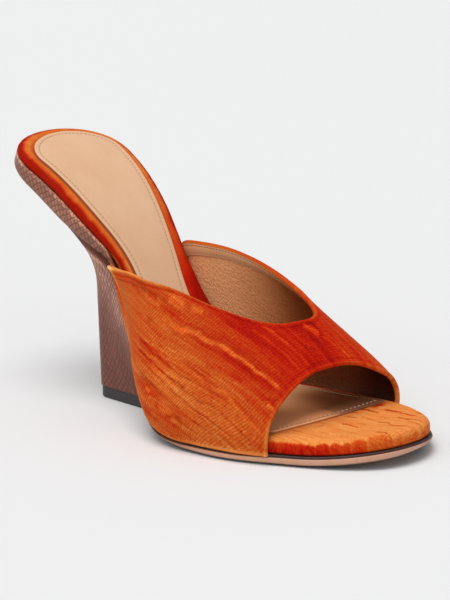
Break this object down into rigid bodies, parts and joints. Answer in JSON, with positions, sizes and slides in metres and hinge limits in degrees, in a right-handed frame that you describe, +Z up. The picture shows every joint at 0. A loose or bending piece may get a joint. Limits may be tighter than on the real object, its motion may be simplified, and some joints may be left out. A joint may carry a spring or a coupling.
{
  "type": "peep-toe mule",
  "caption": "High-heeled backless mule with an open toe, a one-piece fabric vamp, a padded footbed and a straight block heel under the arch.",
  "frame": {"origin": "centre of the bounding box on the floor", "axes": "+X towards the toe, +Y towards the inner side of the foot, +Z up"},
  "size_m": [0.202, 0.0916, 0.1009],
  "materials": {
    "outsole_leather": "tan sole leather with a smooth waxed edge",
    "welt_leather": "dark brown edge, satin",
    "footbed_fabric": "orange watered velvet wrapped over padding",
    "sock_leather": "nude leather, satin",
    "upper_fabric": "red and orange watered velvet outside, pebbled tan leather inside",
    "heel_leather": "brown scale-embossed leather, satin",
    "lift_rubber": "black, matt"
  },
  "bodies": {
    "root": {"outsole": "outsole_leather", "welt": "welt_leather", "footbed": "footbed_fabric", "insole_sock": "sock_leather", "upper": "upper_fabric", "heel": "heel_leather", "top_lift": "lift_rubber"}
  },
  "joints": []
}
